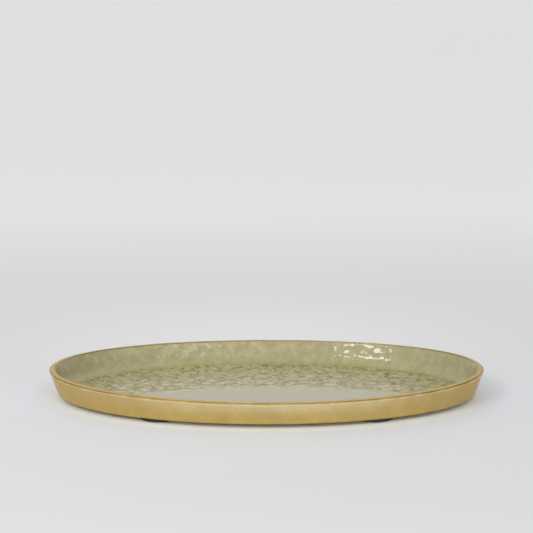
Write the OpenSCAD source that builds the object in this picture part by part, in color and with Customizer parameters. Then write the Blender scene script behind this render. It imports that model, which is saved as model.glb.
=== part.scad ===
// Oval cast brass tray with an enamelled hollow, standing on four round pads.
// The origin is on the surface it stands on, below its middle. X runs along its length, +Z is up.

/* [Casting] */
// Length of the rim, outside
tray_l = 350; // [250:1:450]
// Width of the rim, outside
tray_w = 200; // [150:1:260]
// Height of the casting at the middle of its long sides
wall_h = 18.7; // [14:0.1:26]
// How much higher the rim stands at the two ends
end_rise = 2.4; // [0:0.1:5]
// Width of the rim's flat top, edges included
rim_t = 4; // [3:0.1:7]
// Slope of the rim's top, down towards the outside
rim_slope = 6; // [0:0.5:10]
// Lean of the wall, outwards from upright
wall_lean = 21.5; // [5:0.5:30]
// Thickness of the floor
floor_t = 2; // [1.5:0.1:4]
// Radius of the rim's outer edge
rim_outer_r = 0.8; // [0.5:0.1:1.8]
// Radius of the rim's inner edge
rim_inner_r = 0.3; // [0.2:0.1:0.5]
// Radius of the edge below the wall
base_r = 3; // [0.4:0.1:4]
// Radius of the hollow where the wall meets the floor
cove_r = 10; // [5:0.5:14]

/* [Enamel] */
// Thickness of the enamel coat
enamel_t = 0.5; // [0.3:0.05:1]
// How far below the rim the enamel ends
enamel_drop = 0.5; // [0.5:0.1:3]

/* [Pads] */
// Diameter of a pad
pad_d = 30; // [20:1:35]
// Thickness of a pad
pad_t = 2.5; // [1.5:0.1:5]
// Chamfer on a pad's edges
pad_edge = 0.35; // [0.1:0.05:0.6]
// Diameter of the adhesive disc above a pad
adhesive_d = 29; // [18:1:34]
// Thickness of the adhesive disc
adhesive_t = 0.3; // [0.2:0.1:0.5]
// Distance of a pad's centre from the middle, along the length
pad_x = 83; // [60:1:90]
// Distance of a pad's centre from the middle, across the width
pad_y = 62.5; // [50:0.5:65]

/* [Smoothness] */
// Sides around the oval
oval_sides = 96; // [48:8:128]

/* [Hidden] */

base_z = pad_t + adhesive_t;
rim_z = base_z + wall_h;
floor_z = base_z + floor_t;
enamel_floor_z = floor_z + enamel_t;
half_l = tray_l / 2;
half_w = tray_w / 2;
// Steps in the rounded corners of the wall's section
base_steps = 6;
rim_outer_steps = 4;
rim_inner_steps = 3;
cove_steps = 7;

// Centres of the circles that round the rim's inner and outer edges, as [inset, height]
rim_inner_centre = inner_centre(rim_z - rim_inner_r, rim_inner_r);
rim_outer_centre = [
    rim_outer_r,
    rim_inner_centre[1] + (rim_inner_r - rim_outer_r) / cos(rim_slope)
        - (rim_inner_centre[0] - rim_outer_r) * tan(rim_slope)
];
// How far the rounded outer edge keeps the wall's flat face inside the full length and width
edge_gap = (rim_z - rim_outer_centre[1]) * tan(wall_lean)
    + rim_outer_r * (1 / cos(wall_lean) - 1);

// Inset of the outer wall face, and of the casting's inner face, at height z
function outer_inset(z) = (rim_z - z) * tan(wall_lean) - edge_gap;
function inner_inset(z) = rim_t + (rim_z - z) * tan(wall_lean);

// Share of the end rise that height z takes: none at the floor and all of it at the rim
function rise_share(z) = max(0, (z - enamel_floor_z) / (rim_z - enamel_floor_z));

// Points of a round corner, as [inset, height], from angle a0 to a1
function corner(centre, r, a0, a1, steps) = [
    for (i = [0:steps])
        let (a = a0 + (a1 - a0) * i / steps)
            centre + r * [cos(a), sin(a)]
];

// Centre of a circle of radius r at height z that touches the outer or the inner wall face
// from inside the casting
function outer_centre(z, r) = [outer_inset(z) + r / cos(wall_lean), z];
function inner_centre(z, r) = [inner_inset(z) - r / cos(wall_lean), z];

// The cove that an inner wall face, moved inwards by coat, makes with a floor at level z
function cove(coat, z, r) =
    let (cz = z + r)
        corner(
            [inner_inset(cz) + (coat + r) / cos(wall_lean), cz], r,
            180 + wall_lean, 270, cove_steps
        );

// Section of the casting, from under the floor's edge, up, over the rim and down to the floor
function body_section() = concat(
    corner(
        outer_centre(base_z + base_r, base_r), base_r,
        270, 180 + wall_lean, base_steps
    ),
    corner(rim_outer_centre, rim_outer_r, 180 + wall_lean, 90 + rim_slope, rim_outer_steps),
    corner(rim_inner_centre, rim_inner_r, 90 + rim_slope, wall_lean, rim_inner_steps),
    [enamel_top()],
    cove(0, floor_z, cove_r)
);

// Where the enamel ends on the casting's inner face
function enamel_top() =
    let (z = rim_z - enamel_drop)
        [inner_inset(z), z];

// Section of the enamel: up the casting's inner face, across its edge, and down its own face
function enamel_section() = concat(
    reversed(cove(0, floor_z, cove_r)),
    [enamel_top()],
    [enamel_top() + [enamel_t / cos(wall_lean) + enamel_t * tan(wall_lean), -enamel_t]],
    cove(enamel_t, enamel_floor_z, cove_r - enamel_t)
);

function reversed(list) = [for (i = [len(list) - 1:-1:0]) list[i]];

// Point of the oval at angle t, moved inwards by inset, at height z
function oval_point(t, inset, z) =
    let (normal = [half_w * cos(t), half_l * sin(t)])
    let (reach = norm(normal))
        [
            half_l * cos(t) - inset * normal[0] / reach,
            half_w * sin(t) - inset * normal[1] / reach,
            z + end_rise * rise_share(z) * pow(cos(t), 2)
        ];

// A closed solid with the given section all round the oval, flat across its lower and upper ends
module oval_solid(section) {
    n = oval_sides;
    rings = len(section);
    points = [
        for (p = section)
            for (i = [0:n - 1])
                oval_point(360 * i / n, p[0], p[1])
    ];
    sides = [
        for (j = [0:rings - 2])
            for (i = [0:n - 1])
                let (k = (i + 1) % n)
                    each side_faces(j * n + i, j * n + k, (j + 1) * n + i, (j + 1) * n + k)
    ];
    lower = [for (i = [0:n - 1]) i];
    upper = [for (i = [n - 1:-1:0]) (rings - 1) * n + i];
    polyhedron(points, concat(sides, [lower, upper]));
}

// Two triangles between two neighbouring rings, split along the diagonal that starts lower
function side_faces(a, b, c, d) = [[a, c, b], [b, c, d]];

// A pad or an adhesive disc, with its foot at height z and a chamfer round both edges
module disc(diameter, z, thickness, edge) {
    r = diameter / 2;
    translate([0, 0, z])
        rotate_extrude($fn = 96)
            polygon([
                [0, 0], [r - edge, 0], [r, edge],
                [r, thickness - edge], [r - edge, thickness], [0, thickness]
            ]);
}

module tray_body() {
    color("goldenrod") oval_solid(body_section());
}

module enamel_lining() {
    color("darkkhaki") oval_solid(enamel_section());
}

// One pad, on the side of the middle that its signs say
module pad(side_x, side_y) {
    color("darkslategray")
        translate([side_x * pad_x, side_y * pad_y, 0])
            disc(pad_d, 0, pad_t, pad_edge);
}

module adhesive(side_x, side_y) {
    color("whitesmoke")
        translate([side_x * pad_x, side_y * pad_y, pad_t])
            cylinder(h = adhesive_t, d = adhesive_d, $fn = 96);
}

tray_body();
enamel_lining();
pad(-1, -1);  // pad_front_left
pad(1, -1);  // pad_front_right
pad(-1, 1);  // pad_back_left
pad(1, 1);  // pad_back_right
adhesive(-1, -1);  // adhesive_front_left
adhesive(1, -1);  // adhesive_front_right
adhesive(-1, 1);  // adhesive_back_left
adhesive(1, 1);  // adhesive_back_right
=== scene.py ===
import math

import bmesh
import bpy
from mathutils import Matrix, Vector, noise


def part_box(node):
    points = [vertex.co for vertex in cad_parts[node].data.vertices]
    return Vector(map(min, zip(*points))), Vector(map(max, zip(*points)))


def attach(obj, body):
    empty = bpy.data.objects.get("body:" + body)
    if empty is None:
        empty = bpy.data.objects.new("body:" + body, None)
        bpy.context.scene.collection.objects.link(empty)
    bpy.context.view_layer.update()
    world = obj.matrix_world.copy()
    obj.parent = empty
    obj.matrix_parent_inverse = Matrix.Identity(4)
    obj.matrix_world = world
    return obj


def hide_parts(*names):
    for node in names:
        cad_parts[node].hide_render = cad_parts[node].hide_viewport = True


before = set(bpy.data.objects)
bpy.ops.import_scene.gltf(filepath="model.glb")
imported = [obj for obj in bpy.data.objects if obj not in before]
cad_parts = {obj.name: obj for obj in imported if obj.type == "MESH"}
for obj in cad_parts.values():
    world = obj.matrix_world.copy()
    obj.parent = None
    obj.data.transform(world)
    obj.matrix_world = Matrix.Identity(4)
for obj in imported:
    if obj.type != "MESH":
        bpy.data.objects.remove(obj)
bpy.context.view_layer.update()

MM = 0.001

# ---------------------------------------------------------------- driving dimensions, in metres
BODY_LOW, BODY_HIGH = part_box("tray_body")
ENAMEL_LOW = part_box("enamel_lining")[0]
HALF_L = BODY_HIGH[0]
HALF_W = BODY_HIGH[1]
BASE_Z = BODY_LOW[2]
END_RISE = 2.4 * MM
RIM_Z = BODY_HIGH[2] - END_RISE
ENAMEL_T = 0.5 * MM
FLOOR_Z = ENAMEL_LOW[2]
ENAMEL_FLOOR_Z = FLOOR_Z + ENAMEL_T
ENAMEL_DROP = 0.5 * MM
RIM_T = 4.0 * MM
RIM_SLOPE = math.radians(6)
WALL_LEAN = math.radians(21.5)
RIM_OUTER_R = 0.8 * MM
RIM_INNER_R = 0.3 * MM
BASE_R = 3.0 * MM
COVE_R = 10.0 * MM
# Height of the painted highlight line at the top of the outer wall, and width of the painted
# shade line above it
BRIGHT_LINE = 1.0 * MM
BROWN_LINE = 0.9 * MM
# Half height of the longest of the waves that a hand-cast rim makes
RIM_SWAY = 0.2 * MM

# Depth and width of a hammer mark, how far the marks wander from a regular cell, and the width
# of the ridge between two of them as a share of a mark
HAMMER_DEPTH = 0.43 * MM
MARK_SIZE = 8.5 * MM
MARK_WANDER = 3.4 * MM
RIDGE_WIDTH = 0.28
# How far inside the rim the hammered part of the floor ends, at the ends and along the sides
END_MARGIN = 17 * MM
SIDE_MARGIN = 22 * MM
# Centre and half sizes of the oval pool of enamel, and the width of the smooth band around it
POOL_X, POOL_Y = 6 * MM, -44 * MM
POOL_HALF_L, POOL_HALF_W = 120 * MM, 40 * MM
POOL_MARGIN = 11 * MM
# Share of the marks' colour that the wall lacks, and of their depth that the pool lacks
SMOOTHED = 0.85

# Strength of the studio's light from the camera's side, from both sides and from behind
FRONT_LIGHT = 1.56
SIDE_LIGHT = 0.45
BACK_LIGHT = 0.92
# How much more light comes from the left than from straight above, and less from the right
LEFT_EXTRA = 0.12

# Quads around the oval; the middle block of a floor has a quarter of them along each side
AROUND = 880
BLOCK = AROUND // 4


# ---------------------------------------------------------------- the tray's section
def inner_inset(z):
    """Inset of the casting's inner wall face at height z."""
    return RIM_T + (RIM_Z - z) * math.tan(WALL_LEAN)


def inner_centre(z, r):
    """Centre of a circle at height z that touches the inner wall face from inside the casting."""
    return inner_inset(z) - r / math.cos(WALL_LEAN), z


RIM_INNER_CENTRE = inner_centre(RIM_Z - RIM_INNER_R, RIM_INNER_R)
RIM_OUTER_CENTRE = (
    RIM_OUTER_R,
    RIM_INNER_CENTRE[1]
    + (RIM_INNER_R - RIM_OUTER_R) / math.cos(RIM_SLOPE)
    - (RIM_INNER_CENTRE[0] - RIM_OUTER_R) * math.tan(RIM_SLOPE),
)
# How far the rounded outer edge keeps the wall's flat face inside the full length and width
EDGE_GAP = (RIM_Z - RIM_OUTER_CENTRE[1]) * math.tan(WALL_LEAN)
EDGE_GAP += RIM_OUTER_R * (1 / math.cos(WALL_LEAN) - 1)


def outer_inset(z):
    """Inset of the outer wall face at height z."""
    return (RIM_Z - z) * math.tan(WALL_LEAN) - EDGE_GAP


def rise_share(z):
    """Share of the end rise that height z takes: none at the floor, all of it at the rim."""
    return max(0.0, (z - ENAMEL_FLOOR_Z) / (RIM_Z - ENAMEL_FLOOR_Z))


def corner(centre, r, a0, a1, steps):
    """Points of a round corner as (inset, height), from angle a0 to a1 in degrees."""
    points = []
    for i in range(steps + 1):
        a = math.radians(a0 + (a1 - a0) * i / steps)
        points.append((centre[0] + r * math.cos(a), centre[1] + r * math.sin(a)))
    return points


def straight(p, q, steps):
    """Points between p and q, without either end."""
    return [
        (p[0] + (q[0] - p[0]) * i / steps, p[1] + (q[1] - p[1]) * i / steps)
        for i in range(1, steps)
    ]


def outer_centre(z, r):
    """Centre of a circle at height z that touches the outer wall face from inside the casting."""
    return outer_inset(z) + r / math.cos(WALL_LEAN), z


def cove(coat, z, r, steps):
    """The round between an inner wall face, moved inwards by coat, and a floor at level z."""
    cz = z + r
    centre = (inner_inset(cz) + (coat + r) / math.cos(WALL_LEAN), cz)
    return corner(centre, r, 180 + math.degrees(WALL_LEAN), 270, steps)


def body_section():
    """Section of the casting: base edge, outer wall, rim, inner wall and cove."""
    lean, top_angle = math.degrees(WALL_LEAN), 90 + math.degrees(RIM_SLOPE)
    base = corner(outer_centre(BASE_Z + BASE_R, BASE_R), BASE_R, 270, 180 + lean, steps=10)
    outer_edge = corner(RIM_OUTER_CENTRE, RIM_OUTER_R, 180 + lean, top_angle, steps=8)
    inner_edge = corner(RIM_INNER_CENTRE, RIM_INNER_R, top_angle, lean, steps=6)
    wall_top_z = outer_edge[0][1] - BRIGHT_LINE
    wall_top = (outer_inset(wall_top_z), wall_top_z)
    lip_z = RIM_Z - ENAMEL_DROP - ENAMEL_T
    section = base + straight(base[-1], wall_top, steps=20) + [wall_top]
    section += straight(wall_top, outer_edge[0], steps=3) + outer_edge
    section += straight(outer_edge[-1], inner_edge[0], steps=8) + inner_edge
    section += [(inner_inset(lip_z), lip_z)]
    return section + cove(0, FLOOR_Z, COVE_R, steps=8)


def enamel_section():
    """Section of the enamel: up its hidden side to the top edge, then over the rounded lip and
    down its face. A point close below the lip keeps the lip's bend tight."""
    under = cove(0, FLOOR_Z, COVE_R, steps=8)[::-1]
    edge_z = RIM_Z - ENAMEL_DROP
    edge = (inner_inset(edge_z), edge_z)
    lip_z = edge_z - ENAMEL_T
    lip = (inner_inset(lip_z) + ENAMEL_T / math.cos(WALL_LEAN), lip_z)
    rounded = (edge[0] + 0.72 * (lip[0] - edge[0]), edge_z - 0.3 * ENAMEL_T)
    face = cove(ENAMEL_T, ENAMEL_FLOOR_Z, COVE_R - ENAMEL_T, steps=14)
    below_lip = straight(lip, face[0], steps=60)[0]
    return under + [edge, rounded, lip, below_lip] + straight(lip, face[0], steps=9) + face


# ---------------------------------------------------------------- mesh building
def add_object(name, data):
    obj = bpy.data.objects.new(name, data)
    bpy.context.scene.collection.objects.link(obj)
    return obj


def add_mesh(name, bm):
    """An object made from a bmesh, which is freed."""
    mesh = bpy.data.meshes.new(name)
    bm.to_mesh(mesh)
    bm.free()
    return add_object(name, mesh)


class Skin:
    """Vertices and faces of one closed piece, built ring by ring."""

    def __init__(self):
        self.points = []
        self.faces = []
        self.layers = {}

    def add(self, x, y, z):
        self.points.append((x, y, z))
        return len(self.points) - 1

    def ring(self, inset, z):
        """One ring round the oval, inset and height z as in the section; returns its vertices."""
        ring = []
        for i in range(AROUND):
            t = 2 * math.pi * i / AROUND
            nx, ny = HALF_W * math.cos(t), HALF_L * math.sin(t)
            reach = math.hypot(nx, ny)
            ring.append(
                self.add(
                    HALF_L * math.cos(t) - inset * nx / reach,
                    HALF_W * math.sin(t) - inset * ny / reach,
                    z + END_RISE * rise_share(z) * math.cos(t) ** 2,
                )
            )
        return ring

    def mark(self, layer, ring, value):
        """Note a value from 0 to 1 on every point of a ring; points not named have 0."""
        self.layers.setdefault(layer, {}).update((i, value) for i in ring)

    def bridge(self, a, b):
        """Quads between two neighbouring rings."""
        for i in range(len(a)):
            k = (i + 1) % len(a)
            self.faces.append((a[i], a[k], b[k], b[i]))

    def wall(self, section):
        """Joined rings along the section."""
        rings = [self.ring(*p) for p in section]
        for a, b in zip(rings, rings[1:]):
            self.bridge(a, b)
        return rings

    def cap(self, ring, z):
        """A fan across a hidden level face."""
        middle = self.add(0, 0, z)
        for i in range(len(ring)):
            self.faces.append((ring[i], ring[(i + 1) % len(ring)], middle))

    def floor(self, ring, z, rings):
        """An even mesh across a level face: rings that turn into a block with bulging sides."""
        half_x = 0.5 * max(self.points[i][0] for i in ring)
        half_y = 0.5 * max(self.points[i][1] for i in ring)
        bulge = 0.22
        block = {}
        for iu in range(BLOCK + 1):
            for iv in range(BLOCK + 1):
                u, v = 2 * iu / BLOCK - 1, 2 * iv / BLOCK - 1
                x = half_x * u * (1 + bulge * (1 - v * v))
                y = half_y * v * (1 + bulge * (1 - u * u))
                block[iu, iv] = self.add(x, y, z)
        for iu in range(BLOCK):
            for iv in range(BLOCK):
                self.faces.append(
                    (block[iu, iv], block[iu + 1, iv], block[iu + 1, iv + 1], block[iu, iv + 1])
                )
        upper_right = [block[BLOCK, v] for v in range(BLOCK // 2, BLOCK)]
        top = [block[u, BLOCK] for u in range(BLOCK, 0, -1)]
        left = [block[0, v] for v in range(BLOCK, 0, -1)]
        bottom = [block[u, 0] for u in range(BLOCK)]
        lower_right = [block[BLOCK, v] for v in range(BLOCK // 2)]
        block_edge = upper_right + top + left + bottom + lower_right
        before = ring
        for j in range(1, rings):
            share = j / rings
            now = []
            for i in range(len(ring)):
                p, q = self.points[ring[i]], self.points[block_edge[i]]
                now.append(
                    self.add(p[0] + (q[0] - p[0]) * share, p[1] + (q[1] - p[1]) * share, z)
                )
            self.bridge(before, now)
            before = now
        self.bridge(before, block_edge)

    def make(self, name, relief):
        """The object, with relief(point, normal) moving each point along its normal."""
        mesh = bpy.data.meshes.new(name)
        mesh.from_pydata(self.points, [], self.faces)
        bm = bmesh.new()
        bm.from_mesh(mesh)
        bmesh.ops.recalc_face_normals(bm, faces=bm.faces)
        bm.normal_update()
        moves = [v.normal * relief(v.co, v.normal) for v in bm.verts]
        for v, move in zip(bm.verts, moves):
            v.co += move + Vector((0, 0, rim_sway(v.co)))
        for face in bm.faces:
            face.smooth = True
        bm.to_mesh(mesh)
        bm.free()
        for layer_name, values in self.layers.items():
            layer = mesh.attributes.new(layer_name, "FLOAT", "POINT")
            layer.data.foreach_set("value", [values.get(i, 0.0) for i in range(len(self.points))])
        return add_object(name, mesh)


def ripple(p, size):
    """Smooth noise from -1 to 1 whose lumps are about size across."""
    return noise.noise(p / size)


def rim_sway(p):
    """The slow rise and fall of a hand-cast rim: none at the floor, all of it at the rim."""
    angle = math.atan2(p.y / HALF_W, p.x / HALF_L)
    sway = math.sin(angle + 0.9) + 0.6 * math.sin(2 * angle - 0.5) + 0.4 * math.sin(3 * angle)
    return RIM_SWAY * sway * rise_share(p.z)


def ramp(x, low, high):
    """0 below low, 1 above high, smooth between."""
    s = min(1.0, max(0.0, (x - low) / (high - low)))
    return s * s * (3 - 2 * s)


# ---------------------------------------------------------------- materials
class Shader:
    """A principled material with short ways to add nodes."""

    def __init__(self, name):
        self.material = bpy.data.materials.new(name)
        self.material.use_nodes = True
        self.nodes = self.material.node_tree.nodes
        self.links = self.material.node_tree.links
        self.main = self.nodes["Principled BSDF"]
        self.place = self.nodes.new("ShaderNodeTexCoord").outputs["Object"]

    def set(self, **values):
        """Constants on the principled node's sockets."""
        for name, value in values.items():
            self.main.inputs[name].default_value = value

    def feed(self, socket, value):
        """A node's output into one of the principled node's sockets."""
        self.links.new(value, self.main.inputs[socket])

    def noise(self, size, detail=3.0, roughness=0.5):
        """Noise with lumps of about size metres."""
        node = self.nodes.new("ShaderNodeTexNoise")
        node.inputs["Scale"].default_value = 1 / size
        node.inputs["Detail"].default_value = detail
        node.inputs["Roughness"].default_value = roughness
        self.links.new(self.place, node.inputs["Vector"])
        return node.outputs["Fac"]

    def cells(self, size):
        """Distance to the nearest of random points that are about size metres apart."""
        node = self.nodes.new("ShaderNodeTexVoronoi")
        node.inputs["Scale"].default_value = 1 / size
        self.links.new(self.place, node.inputs["Vector"])
        return node.outputs["Distance"]

    def axis(self, name):
        """The X, Y or Z coordinate, in metres."""
        node = self.nodes.new("ShaderNodeSeparateXYZ")
        self.links.new(self.place, node.inputs["Vector"])
        return node.outputs[name]

    def attribute(self, name):
        """A value that Skin.mark has noted on the mesh."""
        node = self.nodes.new("ShaderNodeAttribute")
        node.attribute_name = name
        return node.outputs["Fac"]

    def remap(self, value, low, high, new_low=0, new_high=1):
        """The value's range from low to high, stretched to the new range and clamped to it."""
        node = self.nodes.new("ShaderNodeMapRange")
        node.inputs["From Min"].default_value = low
        node.inputs["From Max"].default_value = high
        node.inputs["To Min"].default_value = new_low
        node.inputs["To Max"].default_value = new_high
        self.links.new(value, node.inputs["Value"])
        return node.outputs["Result"]

    def math(self, operation, a, b=0):
        """A math node; a and b are numbers or nodes' outputs."""
        node = self.nodes.new("ShaderNodeMath")
        node.operation = operation
        for socket, value in zip(node.inputs, (a, b)):
            if isinstance(value, (int, float)):
                socket.default_value = value
            else:
                self.links.new(value, socket)
        return node.outputs["Value"]

    def mix(self, share, a, b):
        """A colour between a and b; each is a colour or a node's output."""
        node = self.nodes.new("ShaderNodeMix")
        node.data_type = "RGBA"
        self.links.new(share, node.inputs["Factor"])
        for socket, value in ((node.inputs[6], a), (node.inputs[7], b)):
            if isinstance(value, tuple):
                socket.default_value = (*value, 1)
            else:
                self.links.new(value, socket)
        return node.outputs[2]

    def bump(self, height, distance, strength, under=None):
        """A bumped normal, on top of the normal named under if there is one."""
        node = self.nodes.new("ShaderNodeBump")
        node.inputs["Distance"].default_value = distance
        node.inputs["Strength"].default_value = strength
        self.links.new(height, node.inputs["Height"])
        if under:
            self.links.new(under, node.inputs["Normal"])
        return node.outputs["Normal"]


def brass_material():
    """Satin brass: a fine cast grain and a cloudy tone, with painted light: a painted highlight
    towards the top of the wall at the middle of its length, painted shade towards both ends, a
    painted dark line round the rim's outer edge and, fainter, its inner edge, a painted highlight
    line below it, with lower roughness, and painted shade on the back of the rim."""
    s = Shader("cast_brass")
    s.set(Metallic=1.0, IOR=1.45)
    cloud = s.remap(s.noise(18 * MM, 4, 0.6), 0.35, 0.65)
    tone = s.mix(cloud, (0.625, 0.453, 0.164), (0.72, 0.545, 0.221))
    # Painted highlight: the outer wall is paler towards its top at the middle of its length
    height = s.remap(s.axis("Z"), BASE_Z + 0.4 * (RIM_Z - BASE_Z), RIM_Z)
    height = s.math("MULTIPLY", height, s.remap(s.noise(35 * MM, 2), 0.35, 0.65, 0.65, 1.1))
    end = s.remap(s.math("ABSOLUTE", s.axis("X")), 0.35 * HALF_L, 0.95 * HALF_L)
    below_top = s.math("SUBTRACT", 1, s.attribute("top"))
    middle = s.math("MULTIPLY", s.math("SUBTRACT", 1, end), below_top)
    tone = s.mix(s.math("MULTIPLY", height, middle), tone, (0.90, 0.77, 0.47))
    # Painted shade: the outer wall is darker towards both ends
    tone = s.mix(s.math("MULTIPLY", end, 0.7), tone, (0.58, 0.415, 0.148))
    speck = s.remap(s.noise(1.1 * MM, 2, 0.6), 0.52, 0.72, 0, 0.45)
    tone = s.mix(speck, tone, (0.55, 0.37, 0.12))
    # Painted highlight: a pale line along the top of the outer wall, broken up by noise, with lower
    # roughness there
    highlight_breakup = s.remap(s.noise(9 * MM), 0.3, 0.7, 0.1, 1)
    painted_highlight = s.math("MULTIPLY", s.attribute("painted_highlight"), highlight_breakup)
    tone = s.mix(painted_highlight, tone, (0.96, 0.87, 0.62))
    # Painted shade: a dark line round the rim's outer edge and, fainter, its inner edge, broken up
    # by noise
    edge_shade_breakup = s.remap(s.noise(14 * MM), 0.3, 0.6, 0.5, 1)
    edge_shade = s.math("MULTIPLY", s.attribute("edge_shade"), edge_shade_breakup)
    tone = s.mix(edge_shade, tone, (0.385, 0.238, 0.056))
    # Painted shade on the back half of the rim
    tone = s.mix(s.attribute("back_rim_shade"), tone, (0.28, 0.21, 0.09))
    s.feed("Base Color", tone)
    rough = s.remap(s.noise(7 * MM, 4, 0.6), 0.3, 0.7, 0.40, 0.52)
    s.feed("Roughness", s.math("SUBTRACT", rough, s.math("MULTIPLY", painted_highlight, 0.12)))
    grain = s.bump(s.noise(0.8 * MM, 3, 0.65), 0.12 * MM, 0.55)
    pits = s.remap(s.cells(2.4 * MM), 0, 0.25)
    s.feed("Normal", s.bump(pits, 0.05 * MM, 0.25, grain))
    return s.material


def enamel_material():
    """Glossy olive enamel with a fine orange-peel skin: blotched on the wall, darker on the ridges
    between hammer marks, greyer where it has pooled, and with painted shade towards both ends."""
    s = Shader("olive_enamel")
    s.set(IOR=1.52)
    patch = s.remap(s.noise(8 * MM, 3, 0.55), 0.35, 0.65)
    tone = s.mix(patch, (0.434, 0.385, 0.197), (0.506, 0.454, 0.245))
    # Painted shade: the enamel is darker towards both ends
    end = s.remap(s.math("ABSOLUTE", s.axis("X")), 0.55 * HALF_L, 0.95 * HALF_L, 0, 0.3)
    tone = s.mix(end, tone, (0.30, 0.265, 0.14))
    broken = s.remap(s.noise(7 * MM, 3, 0.65), 0.36, 0.56, 0.15, 1)
    crest = s.math("MULTIPLY", s.attribute("ridge"), broken)
    tone = s.mix(crest, tone, (0.192, 0.157, 0.036))
    blotch = s.remap(s.noise(7 * MM, 3, 0.6), 0.40, 0.60, 0.0, 0.75)
    tone = s.mix(s.math("MULTIPLY", s.attribute("wall"), blotch), tone, (0.355, 0.318, 0.168))
    tone = s.mix(s.attribute("pool"), tone, (0.405, 0.380, 0.245))
    s.feed("Base Color", tone)
    s.feed("Roughness", s.remap(s.noise(5 * MM), 0.3, 0.7, 0.06, 0.13))
    peel = s.bump(s.noise(3.2 * MM, 2, 0.5), 0.04 * MM, 0.4)
    s.feed("Normal", s.bump(s.noise(0.5 * MM, 2), 0.008 * MM, 0.3, peel))
    return s.material


def rubber_material():
    """Dark matte pad rubber with a dusty, finely pebbled skin."""
    s = Shader("pad_rubber")
    dust = s.remap(s.noise(3 * MM, 4, 0.6), 0.4, 0.75, 0, 0.5)
    s.feed("Base Color", s.mix(dust, (0.026, 0.026, 0.018), (0.055, 0.054, 0.040)))
    s.feed("Roughness", s.remap(s.noise(2 * MM), 0.3, 0.7, 0.62, 0.85))
    s.feed("Normal", s.bump(s.cells(0.9 * MM), 0.1 * MM, 0.5))
    return s.material


def adhesive_material():
    """Thin pale foam tape."""
    s = Shader("adhesive_tape")
    shade = s.remap(s.noise(1.5 * MM), 0.3, 0.7)
    s.feed("Base Color", s.mix(shade, (0.50, 0.50, 0.46), (0.66, 0.66, 0.62)))
    s.feed("Roughness", s.remap(s.noise(1 * MM, 2), 0.3, 0.7, 0.6, 0.8))
    s.feed("Normal", s.bump(s.noise(0.4 * MM, 2), 0.05 * MM, 0.5))
    return s.material


# ---------------------------------------------------------------- pieces
def cast_relief(p):
    """The slight unevenness of a sand casting, finished by hand."""
    return 0.10 * MM * ripple(p, 24 * MM) + 0.035 * MM * ripple(p, 5 * MM)


def hammer_ridge(p):
    """1 on the ridges between hammer marks, falling to 0 inside a mark. The marks are cells that
    wander, squatter on the wall than on the floor."""
    size = 6 * MM
    wander = Vector((ripple(p, size), ripple(p.yzx, size), ripple(p.zxy, size))) * MARK_WANDER
    squat = Vector((p.x, p.y, 1.9 * p.z))
    distances = noise.voronoi((squat + wander) / MARK_SIZE)[0]
    return 1 - ramp(distances[1] - distances[0], 0, RIDGE_WIDTH)


def on_wall(p):
    """0 on the hammered part of the floor, 1 on the wall and along its foot."""
    reach = math.hypot(p.x / (HALF_L - END_MARGIN), p.y / (HALF_W - SIDE_MARGIN))
    return ramp(reach, 0.96, 1.02)


def hammered_relief(p):
    """Height of the hammered surface: irregular marks on the floor, softer waves up the wall."""
    ridge = hammer_ridge(p)
    marks = ridge + 0.55 * ripple(p, 6.5 * MM)
    soft = 0.3 * (ridge - 0.3) + 0.7 * ripple(p, 7.5 * MM)
    return HAMMER_DEPTH * (marks + (soft - marks) * on_wall(p))


def pooled(p, spread):
    """1 where the enamel has pooled smooth, at the front of the floor; spread widens the pool."""
    x, y = (p.x - POOL_X) / (POOL_HALF_L + spread), (p.y - POOL_Y) / (POOL_HALF_W + spread)
    uneven = 0.05 * ripple(p, 20 * MM)
    return 1 - ramp(math.hypot(x, y) + uneven, 0.93, 1.02)


def make_body():
    """The casting, with the painted shade of its rim and the painted highlight line at the top of
    its wall marked on the mesh.
    """
    skin = Skin()
    section = body_section()
    rings = skin.wall(section)
    line = RIM_OUTER_CENTRE[1]
    for ring, (inset, z) in zip(rings, section):
        if z > line:
            # Painted shade line at the rim's outer edge and, half as strong, at its inner edge
            outside = 1 - ramp(inset, 0.75 * BROWN_LINE, 1.25 * BROWN_LINE)
            inside = 0.5 * ramp(inset, RIM_T - 0.5 * BROWN_LINE, RIM_T)
            skin.mark("top", ring, 1)
            skin.mark("edge_shade", ring, max(outside, inside))
            # Painted shade: the rim's top grows darker towards the back
            for i in ring:
                skin.mark("back_rim_shade", [i], 0.75 * ramp(skin.points[i][1], 0.1 * HALF_W, 0.5 * HALF_W))
        else:
            # Painted highlight line just below the rim's rounded outer edge
            skin.mark("painted_highlight", ring, ramp(z, line - 1.5 * BRIGHT_LINE, line - 0.3 * BRIGHT_LINE))
    skin.floor(rings[0], BASE_Z, rings=24)
    skin.cap(rings[-1], FLOOR_Z)

    def relief(p, normal):
        """Full up the wall and faint on the underside, where the adhesive discs sit."""
        return cast_relief(p) * ramp(p.z, BASE_Z - MM, BASE_Z + 3 * MM)

    body = skin.make("brass_casting", relief)
    body.data.materials.append(brass_material())
    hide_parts("tray_body")
    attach(body, "root")


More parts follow.
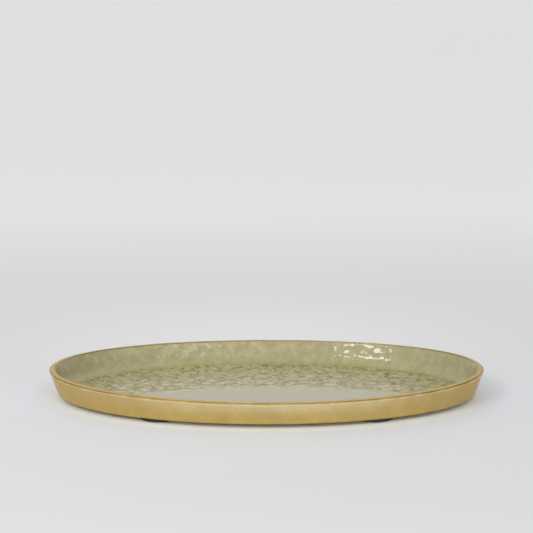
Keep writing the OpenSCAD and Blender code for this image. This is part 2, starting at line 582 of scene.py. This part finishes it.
def make_enamel():
    """The enamel coat, with its relief on the face and none on the side that the casting backs."""
    skin = Skin()
    rings = skin.wall(enamel_section())
    skin.cap(rings[0], FLOOR_Z)
    skin.floor(rings[-1], ENAMEL_FLOOR_Z, rings=44)
    for i, point in enumerate(skin.points):
        p = Vector(point)
        near_pool = pooled(p, POOL_MARGIN)
        height = ramp(p.z - ENAMEL_FLOOR_Z, 0, 5 * MM)
        skin.mark("pool", [i], pooled(p, 0))
        skin.mark("wall", [i], max(on_wall(p) * (0.2 + 0.8 * height), near_pool))
        skin.mark("ridge", [i], hammer_ridge(p) * (1 - SMOOTHED * on_wall(p)) * (1 - near_pool))

    def relief(p, normal):
        """Along the face only, fading out towards the top edge."""
        if normal.z < 0.05:
            return 0.0
        top = RIM_Z - ENAMEL_DROP + END_RISE * (p.x / HALF_L) ** 2
        share = 1 - SMOOTHED * pooled(p, POOL_MARGIN)
        return hammered_relief(p) * share * ramp(top - p.z, 0.3 * MM, 2.5 * MM)

    enamel = skin.make("enamel_coat", relief)
    enamel.data.materials.append(enamel_material())
    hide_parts("enamel_lining")
    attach(enamel, "root")


def make_pad(node, material):
    """A pad turned from a rounded section, with a shallow ring groove under it."""
    lo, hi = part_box(node)
    centre = ((lo[0] + hi[0]) / 2, (lo[1] + hi[1]) / 2)
    r, thickness = (hi[0] - lo[0]) / 2, hi[2] - lo[2]
    edge, waist, groove_depth = 0.5 * MM, 0.06 * MM, 0.25 * MM
    section = [(0.35 * r, 0), (0.6 * r, 0)]
    section += [(0.715 * r, 0), (0.74 * r, groove_depth), (0.775 * r, groove_depth), (0.8 * r, 0)]
    section += corner((r - edge, edge), edge, -90, 0, steps=6)
    section += [(r - waist, thickness / 2)]
    section += corner((r - edge, thickness - edge), edge, 0, 90, steps=6)
    section += [(0.5 * r, thickness)]
    sides = 96
    bm = bmesh.new()
    rings = []
    for radius, z in section:
        ring = []
        for i in range(sides):
            a = 2 * math.pi * i / sides
            ring.append(
                bm.verts.new(
                    (centre[0] + radius * math.cos(a), centre[1] + radius * math.sin(a), lo[2] + z)
                )
            )
        rings.append(ring)
    for a, b in zip(rings, rings[1:]):
        for i in range(sides):
            k = (i + 1) % sides
            bm.faces.new((a[i], a[k], b[k], b[i]))
    for ring in (rings[0], rings[-1]):
        middle = bm.verts.new((*centre, ring[0].co.z))
        for i in range(sides):
            bm.faces.new((ring[i], ring[(i + 1) % sides], middle))
    bmesh.ops.recalc_face_normals(bm, faces=bm.faces)
    for face in bm.faces:
        face.smooth = True
    pad = add_mesh("rubber_" + node, bm)
    pad.data.materials.append(material)
    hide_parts(node)
    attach(pad, "root")


def finish_adhesive(material):
    """The adhesive discs keep their CAD shape and take the tape's material."""
    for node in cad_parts:
        if node.startswith("adhesive"):
            bpy.data.objects[node].material_slots[0].material = material


# ---------------------------------------------------------------- stage, light and camera
def make_floor():
    """A sheet of grey paper that runs back past the horizon. Its tone holds painted light: paler in
    front, in the middle just behind the tray, where it lightens the tray's shadow, and far behind
    it, and a painted cool tint round the tray's edge, brighter under the tray, that cancels the
    brass's warm bounce light and lightens the shadow under the wall."""
    bm = bmesh.new()
    bmesh.ops.create_grid(bm, x_segments=2, y_segments=2, size=60)
    floor = add_mesh("studio_floor", bm)
    floor.location.z = -0.2 * MM
    s = Shader("studio_paper")
    s.set(Roughness=0.95)
    depth, side = s.axis("Y"), s.math("ABSOLUTE", s.axis("X"))
    grey = (0.795, 0.796, 0.798)
    # Painted light on the paper: paler in a band down the middle just behind the tray, in front and
    # far behind
    tone = s.mix(s.remap(side, 0.04, 0.24), (0.876, 0.877, 0.879), grey)
    tone = s.mix(s.remap(depth, -0.20, 0.06, 1, 0), tone, grey)
    tone = s.mix(s.remap(depth, -0.45, -0.25, 1, 0), tone, (0.835, 0.835, 0.835))
    tone = s.mix(s.remap(depth, 0.16, 0.44), tone, grey)
    tone = s.mix(s.remap(depth, 0.40, 0.94), tone, (0.935, 0.935, 0.935))
    x, y = s.math("DIVIDE", side, HALF_L), s.math("DIVIDE", depth, HALF_W)
    reach = s.math("SQRT", s.math("ADD", s.math("MULTIPLY", x, x), s.math("MULTIPLY", y, y)))
    # Painted cool tint round the tray's edge and a brighter one under it, against the brass's warm
    # bounce light and the shadow under the wall
    tone = s.mix(s.remap(reach, 1.05, 1.3), (0.806, 0.842, 0.908), tone)
    s.feed("Base Color", s.mix(s.remap(reach, 0.93, 1.05), (0.92, 0.98, 1.0), tone))
    floor.data.materials.append(s.material)


def make_world():
    """Even studio light, strongest from the front and weakest from both sides, with a little more
    from the left than from the right."""
    world = bpy.data.worlds.new("studio")
    world.use_nodes = True
    nodes, links = world.node_tree.nodes, world.node_tree.links
    place = nodes.new("ShaderNodeTexCoord")
    split = nodes.new("ShaderNodeSeparateXYZ")
    links.new(place.outputs["Generated"], split.inputs["Vector"])
    # The strength adds up what the front and the back half of the sky give and the left's extra
    total = nodes.new("ShaderNodeMath")
    total.operation = "MULTIPLY_ADD"
    total.inputs[1].default_value = 1
    depth = nodes.new("ShaderNodeMath")
    depth.operation = "ADD"
    links.new(depth.outputs["Value"], total.inputs[0])
    for socket, axis, low, high, at_low, at_high in (
        (depth.inputs[0], "Y", -1, 0, FRONT_LIGHT, SIDE_LIGHT),
        (depth.inputs[1], "Y", 0, 1, 0, BACK_LIGHT - SIDE_LIGHT),
        (total.inputs[2], "X", -1, 1, LEFT_EXTRA, -LEFT_EXTRA),
    ):
        share = nodes.new("ShaderNodeMapRange")
        share.inputs["From Min"].default_value = low
        share.inputs["From Max"].default_value = high
        share.inputs["To Min"].default_value = at_low
        share.inputs["To Max"].default_value = at_high
        links.new(split.outputs[axis], share.inputs["Value"])
        links.new(share.outputs["Result"], socket)
    links.new(total.outputs["Value"], nodes["Background"].inputs["Strength"])
    nodes["Background"].inputs["Color"].default_value = (1, 1, 1, 1)
    bpy.context.scene.world = world


def softbox(name, azimuth, elevation, distance, width, height, power):
    """An area light that faces the tray. Azimuth 0 is behind the camera, and 90 to its right."""
    light = bpy.data.lights.new(name, "AREA")
    light.shape = "RECTANGLE"
    light.size, light.size_y = width, height
    light.energy = power
    obj = add_object(name, light)
    a, e = math.radians(azimuth), math.radians(elevation)
    toward = Vector((math.sin(a) * math.cos(e), -math.cos(a) * math.cos(e), math.sin(e)))
    obj.location = toward * distance
    obj.rotation_euler = toward.to_track_quat("Z", "Y").to_euler()


def make_camera():
    """Long lens from the front, a little above the rim. It is pitched down by less than its
    elevation, so that the tray lies low in the frame."""
    distance, elevation, pitch = 1.216, math.radians(14.87), math.radians(10.962)
    target = Vector((0, 0, RIM_Z))
    camera = bpy.data.cameras.new("camera")
    camera.sensor_width = 36
    camera.lens = 101.3
    obj = add_object("camera", camera)
    obj.location = target + distance * Vector((0, -math.cos(elevation), math.sin(elevation)))
    obj.rotation_euler = (math.radians(90) - pitch, 0, 0)
    bpy.context.scene.camera = obj


make_camera()
make_floor()
make_world()
softbox("key_left", azimuth=-36, elevation=36, distance=1.5, width=0.34, height=0.26, power=3.2)
softbox("fill_right", azimuth=24.5, elevation=35, distance=1.6, width=0.34, height=0.12, power=0.42)
bpy.context.scene.view_settings.view_transform = "Standard"

make_body()
make_enamel()
rubber = rubber_material()
for pad_node in [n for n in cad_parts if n.startswith("pad")]:
    make_pad(pad_node, rubber)
finish_adhesive(adhesive_material())
